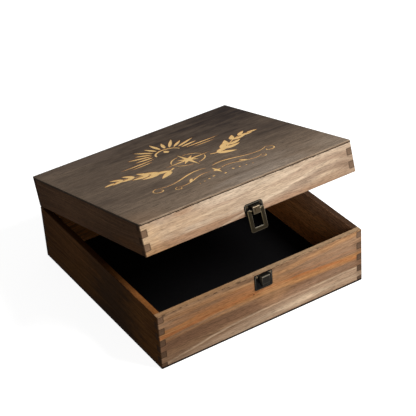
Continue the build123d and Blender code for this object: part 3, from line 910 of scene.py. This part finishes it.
def lid_plate(stain, bare):
    """The lid's top panel with the ornament cut into it."""
    rounding = [(PLATE_EDGE * (1 - cos(a)), PLATE_HIGH.z - PLATE_EDGE * (1 - sin(a)))
                for a in (0, pi / 6, pi / 3, pi / 2)]
    vertices, faces = [], []
    for inset, z in [(0, PLATE_LOW.z), *rounding]:
        outline = plate_outline(inset)
        count, first = len(outline), len(vertices)
        vertices.extend((p.x, p.y, z) for p in outline)
        if first:
            faces += [(first + i, first + (i + 1) % count,
                       first - count + (i + 1) % count, first - count + i) for i in range(count)]
    faces.append(tuple(range(count)))
    kinds = [STAINED] * len(faces)
    # the face is cut into triangles along every motif's outline, and the motifs' own are sunk
    points, loops = [], []
    for outline in [plate_outline(PLATE_EDGE), *map(anticlockwise, ornament())]:
        loops.append(list(range(len(points), len(points) + len(outline))))
        points.extend(outline)
    cut = delaunay_2d_cdt(points, [], loops, KEEP_INSIDE, CUT_GAP)
    spots, _, triangles, _, _, owners = cut
    upper, lower = len(vertices), len(vertices) + len(spots)
    vertices += [(p.x, p.y, PLATE_HIGH.z) for p in spots]
    vertices += [(p.x, p.y, PLATE_HIGH.z - ENGRAVING_DEPTH) for p in spots]
    rim = {}
    for triangle, owned in zip(triangles, owners):
        sunk = any(owner > 0 for owner in owned)
        faces.append(tuple((lower if sunk else upper) + i for i in triangle))
        kinds.append(BARE if sunk else STAINED)
        for a, b in zip(triangle, triangle[1:] + triangle[:1]):
            rim.setdefault((min(a, b), max(a, b)), []).append(sunk)
    for (a, b), sides in rim.items():
        if sorted(sides) == [False, True]:
            faces.append((lower + a, lower + b, upper + b, upper + a))
            kinds.append(BARE)
    plate = make_piece("lid_engraved_panel", vertices, faces, (stain, bare), "lid",
                       "lid_top_panel", kinds, lid=True)
    weld(plate)


WELD_GAP = 0.0005


def weld(piece):
    """Joins corners that meet, drops loose ones and turns every face outward."""
    work = bmesh.new()
    work.from_mesh(piece.data)
    bmesh.ops.remove_doubles(work, verts=work.verts, dist=WELD_GAP * MM)
    bmesh.ops.delete(work, geom=[v for v in work.verts if not v.link_faces], context="VERTS")
    bmesh.ops.recalc_face_normals(work, faces=work.faces)
    work.to_mesh(piece.data)
    work.free()


# ---- the felt ----

FELT_GRID = 64
FELT_WAVE = 0.22  # how far the felt rises off the floor here and there
FELT_WAVE_LENGTH = 38.0
FELT_LIFT = 0.3  # how much of that its underside follows
FELT_RIM = 4  # squares from its edge over which the waves grow
FELT_ROUNDING = 0.35


def felt_lining(material):
    """The felt sheet on the tray's floor, a little uneven, with soft cut edges."""
    low, high = node_box("floor_lining")
    bottom, top = [], []
    for row in range(FELT_GRID + 1):
        for column in range(FELT_GRID + 1):
            s, t = column / FELT_GRID, row / FELT_GRID
            x, y = low.x + (high.x - low.x) * s, low.y + (high.y - low.y) * t
            place = Vector((x / FELT_WAVE_LENGTH, y / FELT_WAVE_LENGTH, 0.7))
            wave = noise.noise(place) * 0.5 + 0.5
            rim = min(s, 1 - s, t, 1 - t) * FELT_GRID
            rounded = FELT_ROUNDING if rim < 0.5 else 0.0
            rise = FELT_WAVE * wave * min(rim / FELT_RIM, 1.0)
            bottom.append((x, y, low.z + FELT_LIFT * rise))
            top.append((x, y, high.z + rise - rounded))
    across = FELT_GRID + 1
    count = len(bottom)
    faces = []
    for row in range(FELT_GRID):
        for column in range(FELT_GRID):
            a = row * across + column
            faces.append((a, a + across, a + across + 1, a + 1))
            faces.append(tuple(count + i for i in (a, a + 1, a + across + 1, a + across)))
    rim = list(range(across))
    rim += [row * across + FELT_GRID for row in range(1, across)]
    rim += [FELT_GRID * across + column for column in range(FELT_GRID - 1, -1, -1)]
    rim += [row * across for row in range(FELT_GRID - 1, 0, -1)]
    for a, b in zip(rim, rim[1:] + rim[:1]):
        faces.append((a, b, count + b, count + a))
    felt = make_piece("floor_felt", bottom + top, faces, (material,), "tray",
                      "floor_lining")
    weld(felt)
    felt.data.shade_smooth()


# ---- light and floor ----


LAMPS = (
    # name, place, where it shines, size, watts, colour
    ("key", (0.85, -1.1, 1.45), (0, 0, 0.08), 0.7, 49.0, (1.0, 0.99, 0.975)),
    ("fill", (-1.2, -1.3, 0.62), (0.05, 0, 0.1), 0.8, 4.0, (1.0, 0.98, 0.95)),
)
AMBIENT = 0.2


def add_lamp(name, place, target, size, watts, colour):
    data = bpy.data.lights.new(name, "AREA")
    data.shape = "DISK"
    data.size = size
    data.energy = watts
    data.color = colour
    lamp = bpy.data.objects.new(name, data)
    direction = Vector(target) - Vector(place)
    lamp.location = place
    lamp.rotation_euler = direction.to_track_quat("-Z", "Y").to_euler()
    bpy.context.scene.collection.objects.link(lamp)


def seen_rays(tree):
    """1 for rays of the camera and of gloss, which meet a white background."""
    path = tree.nodes.new("ShaderNodeLightPath")
    either = tree.nodes.new("ShaderNodeMath")
    either.operation = "MAXIMUM"
    tree.links.new(path.outputs["Is Camera Ray"], either.inputs[0])
    tree.links.new(path.outputs["Is Glossy Ray"], either.inputs[1])
    return either.outputs[0]


def add_world():
    world = bpy.data.worlds.new("studio")
    bpy.context.scene.world = world
    world.use_nodes = True
    tree = world.node_tree
    background = tree.nodes["Background"]
    background.inputs["Color"].default_value = (1, 1, 1, 1)
    strength = tree.nodes.new("ShaderNodeMapRange")
    strength.inputs["To Min"].default_value = AMBIENT
    strength.inputs["To Max"].default_value = 1.0
    tree.links.new(seen_rays(tree), strength.inputs["Value"])
    tree.links.new(strength.outputs[0], background.inputs["Strength"])


FLOOR_GREY = 0.45
FLOOR_GLOW = 0.88  # beside the box, so that its shadow still shows
FLOOR_FADE = (0.4, 2.5)  # metres from the box over which the glow grows to full
FLOOR_HALF, FLOOR_GAP = 8.0, 0.0002


def add_floor():
    """A pale floor that keeps the box's soft shadow and runs into the white background."""
    mesh = bpy.data.meshes.new("floor")
    signs = ((-1, -1), (1, -1), (1, 1), (-1, 1))
    mesh.from_pydata([(FLOOR_HALF * x, FLOOR_HALF * y, 0) for x, y in signs], [], [(0, 1, 2, 3)])
    floor = bpy.data.objects.new("floor", mesh)
    floor.location.z = cad_low.z - FLOOR_GAP
    bpy.context.scene.collection.objects.link(floor)
    g = Graph("floor")
    g.set(Base_Color=(FLOOR_GREY, FLOOR_GREY, FLOOR_GREY, 1), Roughness=1.0,
          Specular_IOR_Level=0.0)
    place = g.node("ShaderNodeTexCoord").outputs["Object"]
    away = g.node("ShaderNodeVectorMath", place, operation="LENGTH")
    glow = g.node("ShaderNodeEmission")
    strength = g.step(away.outputs["Value"], *FLOOR_FADE, FLOOR_GLOW, 1.0)
    g.feed(glow.inputs["Strength"], g.times(strength, seen_rays(g.tree)))
    both = g.node("ShaderNodeAddShader", g.shader.outputs[0], glow.outputs[0])
    g.feed(g.tree.nodes["Material Output"].inputs[0], both.outputs[0])
    mesh.materials.append(g.material)


# ---- the box ----


def dress_boards():
    """Each board's seed is its place in this list."""
    # the front and back boards' end grain is dark, partly its own tone and partly painted shade
    # for where it shows on the unlit left side
    shaded_front_ends, plain_rim = (52, 36, 25), ((88, 62, 42), (88, 62, 42))
    boards = {
        # painted light: its drift darkens this board towards its left, away from the lamp
        "tray_front_board": Stain(
            ((150, 118, 90), (142, 110, 84), (126, 96, 72)), ((144, 111, 80), (148, 121, 93)),
            shaded_front_ends, TRAY_FRONT_STREAKS, TRAY_FRONT_PATCHES,
            knots=((-15, 50.5, 1.6), (98.6, 40, 0.7)), drift=(0.82, 1.07), fine=1.2,
        ),
        "lid_front_board": Stain(
            ((188, 168, 146), (178, 156, 134), (164, 140, 116)), ((150, 122, 92), (150, 122, 92)),
            shaded_front_ends, LID_FRONT_STREAKS, LID_FRONT_PATCHES, contrast=0.5, fine=1.2,
        ),
        "tray_back_board": Stain(
            ((138, 104, 76), (118, 86, 62), (98, 70, 50)), plain_rim, shaded_front_ends,
            # painted light: its inner face is lightened and warmed
            inside=(3.3, 2.7, 1.7),
        ),
        "lid_back_board": Stain(
            ((142, 110, 84), (122, 92, 68), (102, 76, 56)), plain_rim, shaded_front_ends,
        ),
        # painted shade: this board's tones are darkened partly for its unlit side, its rim darkens
        # towards the back as the lid's painted shadow, and its dark middle cloud is painted shade
        "tray_left_board": Stain(
            ((88, 58, 30), (70, 44, 19), (54, 31, 11)), ((118, 74, 38), (50, 27, 12)),
            (96, 73, 56), contrast=1.4, fine=1.4,
            patches=(((30, 19, 10), -38, 30, 62, 110, 0.78), ((78, 50, 25), 70, 52, 50, 12, 0.5)),
        ),
        # painted shade: this board's rim is dark all along, as if shaded
        "tray_right_board": Stain(
            ((136, 96, 64), (118, 82, 54), (96, 62, 38)), ((64, 46, 34), (66, 46, 34)),
            # painted light: its inner face is lightened
            (104, 82, 66), contrast=1.3, fine=2.0, inside=(2.5, 2.35, 1.95),
            patches=(((108, 82, 68), 0, TRAY_TOP, 400, 26, 0.7),
                     ((104, 62, 30), 0, 10, 400, 30, 0.7)),
        ),
        # painted shade: this board's tones are darkened partly for its unlit side
        "lid_left_board": Stain(
            ((96, 72, 53), (83, 60, 43), (69, 49, 35)), ((80, 56, 38), (60, 40, 26)),
            (120, 95, 75), drift=(0.84, 1.05), contrast=1.2, fine=1.3,
            patches=(((88, 58, 34), -110, 85, 40, 8, 0.5), ((96, 72, 54), 60, 101, 70, 10, 0.4)),
        ),
        "lid_right_board": Stain(
            ((140, 102, 72), (122, 88, 60), (102, 72, 48)), plain_rim, (116, 94, 77),
        ),
    }
    for seed, (board, stain) in enumerate(boards.items(), 1):
        along = 0 if "front" in board or "back" in board else 1
        dress(board, pine(board + "_pine", along, board.startswith("lid"), seed, stain))


# The painted highlight lines on the clasp's tab and the catch's bill, for the edge highlights.
TAB = (0.0, 4.6, SEAM_HEIGHT + 0.9, SEAM_HEIGHT + 10.2, 0.25)
BILL = (0.0, 5.6, SEAM_HEIGHT - 12.1, SEAM_HEIGHT - 2.0, 0.3)
CLASP_HALF, LOOP_HALF = 13.0, 12.0
LOOP_WINDOW = 6.4  # half its width
LOOP_FOOT_BAR = 5.0
HINGE_PLACE, HINGE_HALF = 95.0, 15.0
# painted shade: the bottom panel's edge is darkened as a contact shadow by the floor
BOTTOM_EDGE_SHADED = ((26, 20, 15), (42, 32, 25))
TOP_EDGE = ((104, 86, 70), (136, 117, 98))


def plate_highlight(node, middle, half, shut, strength, inset=1.2):
    """The painted highlight line inside the outline of a flat metal part, for the edge
    highlights.
    """
    low, high = node_box(node, shut)
    return middle, half - inset, low.z + inset, high.z - inset, strength


def dress_metal():
    dark, browned, brass = (20, 18, 15), (66, 56, 42), (112, 94, 66)
    clasp_highlights = [plate_highlight("clasp_plate", 0.0, CLASP_HALF, True, 0.45), TAB]
    catch_highlights = [plate_highlight("catch_plate", 0.0, CLASP_HALF, False, 0.3), BILL]
    # painted highlights round the loop and along the foot of its window
    outer = plate_highlight("clasp_loop", 0.0, LOOP_HALF, True, 0.5, 0.6)
    window = (0.0, LOOP_WINDOW + 0.2, outer[2] + LOOP_FOOT_BAR - 0.8, outer[3] - 1, 0.6)
    finishes = {
        "clasp_plate": bronze("clasp_bronze", dark, brass, -0.04, (0.28, 0.46), True,
                              clasp_highlights, proud=browned),
        "catch_plate": bronze("catch_bronze", (10, 9, 9), brass, -0.06, (0.5, 0.7), False,
                              catch_highlights, proud=(30, 27, 23)),
        # the loop's lit tone is a painted highlight on its faces that look up
        "clasp_loop": bronze("loop_bronze", (38, 33, 24), (84, 72, 50), 0.0, (0.26, 0.42), True,
                             [outer, window], (124, 110, 82), lit=(212, 204, 186)),
    }
    for shut, part in ((True, "lid"), (False, "tray")):
        edges = [plate_highlight(f"left_hinge_{part}_leaf", HINGE_PLACE, HINGE_HALF, shut, 0.5)]
        leaf = bronze(f"{part}_leaf_bronze", dark, brass, -0.02, (0.3, 0.5), shut, edges)
        finishes[f"left_hinge_{part}_leaf"] = finishes[f"right_hinge_{part}_leaf"] = leaf
    fastener = bronze("fastener_bronze", (62, 53, 41), (150, 128, 92), 0.08, (0.26, 0.4), False)
    for node in ("left_hinge_pin", "right_hinge_pin", "clasp_nails", "catch_nails",
                 "tray_hinge_screws", "lid_hinge_screws"):
        finishes[node] = fastener
    for node, finish in finishes.items():
        dress(node, finish)


add_camera()
add_world()
for lamp in LAMPS:
    add_lamp(*lamp)
add_floor()
dress_boards()
dress_metal()
dress("tray_bottom_panel", stained_panel("bottom_stain", False, 21, BOTTOM_EDGE_SHADED))
lid_plate(stained_panel("top_stain", True, 22, TOP_EDGE, TOP_PATCHES_AND_SHEEN), engraving())
felt_lining(felt_material())

bpy.context.scene.view_settings.view_transform = "Standard"
